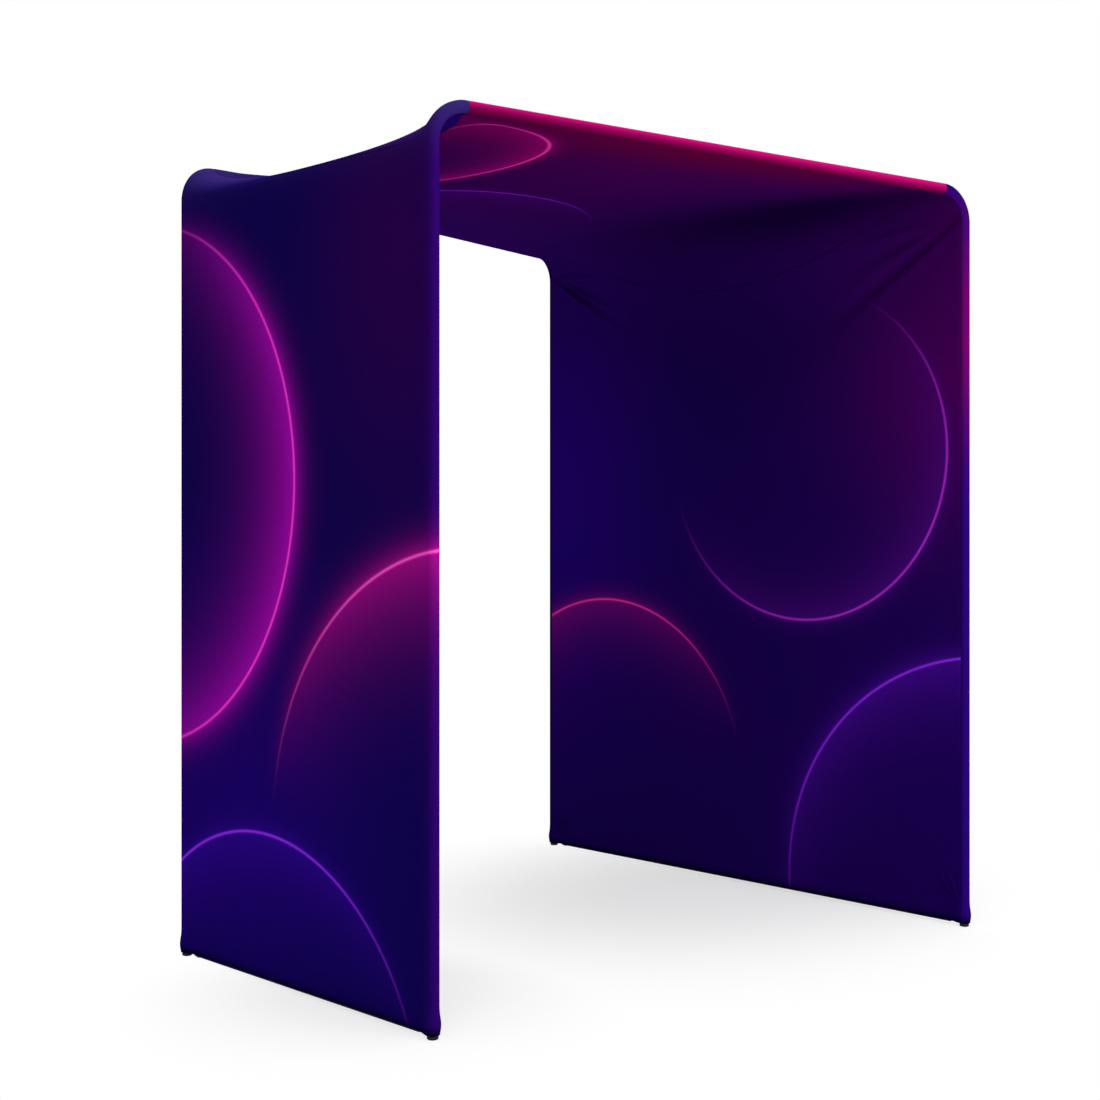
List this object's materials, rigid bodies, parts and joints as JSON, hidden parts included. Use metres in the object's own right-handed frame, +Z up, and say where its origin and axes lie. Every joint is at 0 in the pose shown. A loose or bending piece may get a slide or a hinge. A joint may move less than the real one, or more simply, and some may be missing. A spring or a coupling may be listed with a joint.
{
  "type": "arched display wall",
  "caption": "Free-standing walk-through arch: stretch-fabric cover over two splayed aluminium tube hoops, with rounded upper corners, zipped hems and rubber feet.",
  "frame": {"origin": "on the floor, at the middle of the footprint", "axes": "+Z up, +X from the shallow left leg to the deep right leg, +Y from the front hoop to the back hoop"},
  "size_m": [1.9997, 1.9, 2.4],
  "materials": {
    "cover_knit": "printed stretch polyester knit, satin",
    "tube_aluminium": "drawn, satin anodised",
    "rivet_aluminium": "plain",
    "elbow_plastic": "moulded glass-filled nylon, matte",
    "foot_rubber": "moulded, matte",
    "spring_steel": "zinc plated",
    "zip_plastic": "moulded coil zip",
    "slider_metal": "black enamel"
  },
  "bodies": {
    "arch": {"front_left_lower_leg": "tube_aluminium", "front_left_corner_tube": "tube_aluminium", "front_top_left_tube": "tube_aluminium", "front_top_right_tube": "tube_aluminium", "front_right_corner_tube": "tube_aluminium", "front_right_lower_leg": "tube_aluminium", "back_left_lower_leg": "tube_aluminium", "back_left_corner_tube": "tube_aluminium", "back_top_left_tube": "tube_aluminium", "back_top_right_tube": "tube_aluminium", "back_right_corner_tube": "tube_aluminium", "back_right_lower_leg": "tube_aluminium", "left_base_tube": "tube_aluminium", "right_base_tube": "tube_aluminium", "left_spreader": "tube_aluminium", "right_spreader": "tube_aluminium", "top_spreader": "tube_aluminium", "front_left_base_elbow": "elbow_plastic", "front_right_base_elbow": "elbow_plastic", "back_left_base_elbow": "elbow_plastic", "back_right_base_elbow": "elbow_plastic", "front_left_foot": "foot_rubber", "front_right_foot": "foot_rubber", "back_left_foot": "foot_rubber", "back_right_foot": "foot_rubber", "base_rivets": "rivet_aluminium", "snap_springs": "spring_steel", "left_outer_panel": "cover_knit", "left_inner_panel": "cover_knit", "top_outer_panel": "cover_knit", "top_inner_panel": "cover_knit", "right_outer_panel": "cover_knit", "right_inner_panel": "cover_knit", "left_zip_chain": "zip_plastic", "right_zip_chain": "zip_plastic"},
    "front_centre_button": {"front_centre_button": "spring_steel"},
    "front_left_base_button": {"front_left_base_button": "spring_steel"},
    "front_left_leg_button": {"front_left_leg_button": "spring_steel"},
    "front_left_top_button": {"front_left_top_button": "spring_steel"},
    "front_right_base_button": {"front_right_base_button": "spring_steel"},
    "front_right_leg_button": {"front_right_leg_button": "spring_steel"},
    "front_right_top_button": {"front_right_top_button": "spring_steel"},
    "back_centre_button": {"back_centre_button": "spring_steel"},
    "back_left_base_button": {"back_left_base_button": "spring_steel"},
    "back_left_leg_button": {"back_left_leg_button": "spring_steel"},
    "back_left_top_button": {"back_left_top_button": "spring_steel"},
    "back_right_base_button": {"back_right_base_button": "spring_steel"},
    "back_right_leg_button": {"back_right_leg_button": "spring_steel"},
    "back_right_top_button": {"back_right_top_button": "spring_steel"},
    "left_zip_slider": {"left_zip_slider": "slider_metal"},
    "right_zip_slider": {"right_zip_slider": "slider_metal"}
  },
  "joints": [
    {"name": "front_centre_press", "type": "slide", "parent": "arch", "child": "front_centre_button", "axis": [-0.185, -0.9827, 0], "range_m": [0, 0.0047], "stiffness_N_per_m": 1500, "springref_m": -0.003, "deforming": ["snap_springs"]},
    {"name": "front_left_base_press", "type": "slide", "parent": "arch", "child": "front_left_base_button", "axis": [-0.185, -0.9827, 0], "range_m": [0, 0.0047], "stiffness_N_per_m": 1500, "springref_m": -0.003, "deforming": ["snap_springs"]},
    {"name": "front_left_leg_press", "type": "slide", "parent": "arch", "child": "front_left_leg_button", "axis": [-0.185, -0.9827, 0], "range_m": [0, 0.0047], "stiffness_N_per_m": 1500, "springref_m": -0.003, "deforming": ["snap_springs"]},
    {"name": "front_left_top_press", "type": "slide", "parent": "arch", "child": "front_left_top_button", "axis": [-0.185, -0.9827, 0], "range_m": [0, 0.0047], "stiffness_N_per_m": 1500, "springref_m": -0.003, "deforming": ["snap_springs"]},
    {"name": "front_right_base_press", "type": "slide", "parent": "arch", "child": "front_right_base_button", "axis": [-0.185, -0.9827, 0], "range_m": [0, 0.0047], "stiffness_N_per_m": 1500, "springref_m": -0.003, "deforming": ["snap_springs"]},
    {"name": "front_right_leg_press", "type": "slide", "parent": "arch", "child": "front_right_leg_button", "axis": [-0.185, -0.9827, 0], "range_m": [0, 0.0047], "stiffness_N_per_m": 1500, "springref_m": -0.003, "deforming": ["snap_springs"]},
    {"name": "front_right_top_press", "type": "slide", "parent": "arch", "child": "front_right_top_button", "axis": [-0.185, -0.9827, 0], "range_m": [0, 0.0047], "stiffness_N_per_m": 1500, "springref_m": -0.003, "deforming": ["snap_springs"]},
    {"name": "back_centre_press", "type": "slide", "parent": "arch", "child": "back_centre_button", "axis": [-0.185, 0.9827, 0], "range_m": [0, 0.0047], "stiffness_N_per_m": 1500, "springref_m": -0.003, "deforming": ["snap_springs"]},
    {"name": "back_left_base_press", "type": "slide", "parent": "arch", "child": "back_left_base_button", "axis": [-0.185, 0.9827, 0], "range_m": [0, 0.0047], "stiffness_N_per_m": 1500, "springref_m": -0.003, "deforming": ["snap_springs"]},
    {"name": "back_left_leg_press", "type": "slide", "parent": "arch", "child": "back_left_leg_button", "axis": [-0.185, 0.9827, 0], "range_m": [0, 0.0047], "stiffness_N_per_m": 1500, "springref_m": -0.003, "deforming": ["snap_springs"]},
    {"name": "back_left_top_press", "type": "slide", "parent": "arch", "child": "back_left_top_button", "axis": [-0.185, 0.9827, 0], "range_m": [0, 0.0047], "stiffness_N_per_m": 1500, "springref_m": -0.003, "deforming": ["snap_springs"]},
    {"name": "back_right_base_press", "type": "slide", "parent": "arch", "child": "back_right_base_button", "axis": [-0.185, 0.9827, 0], "range_m": [0, 0.0047], "stiffness_N_per_m": 1500, "springref_m": -0.003, "deforming": ["snap_springs"]},
    {"name": "back_right_leg_press", "type": "slide", "parent": "arch", "child": "back_right_leg_button", "axis": [-0.185, 0.9827, 0], "range_m": [0, 0.0047], "stiffness_N_per_m": 1500, "springref_m": -0.003, "deforming": ["snap_springs"]},
    {"name": "back_right_top_press", "type": "slide", "parent": "arch", "child": "back_right_top_button", "axis": [-0.185, 0.9827, 0], "range_m": [0, 0.0047], "stiffness_N_per_m": 1500, "springref_m": -0.003, "deforming": ["snap_springs"]},
    {"name": "left_zip_slide", "type": "slide", "parent": "arch", "child": "left_zip_slider", "axis": [0, -1, 0], "range_m": [0, 0.9972]},
    {"name": "right_zip_slide", "type": "slide", "parent": "arch", "child": "right_zip_slider", "axis": [0, -1, 0], "range_m": [0, 1.7372]}
  ]
}
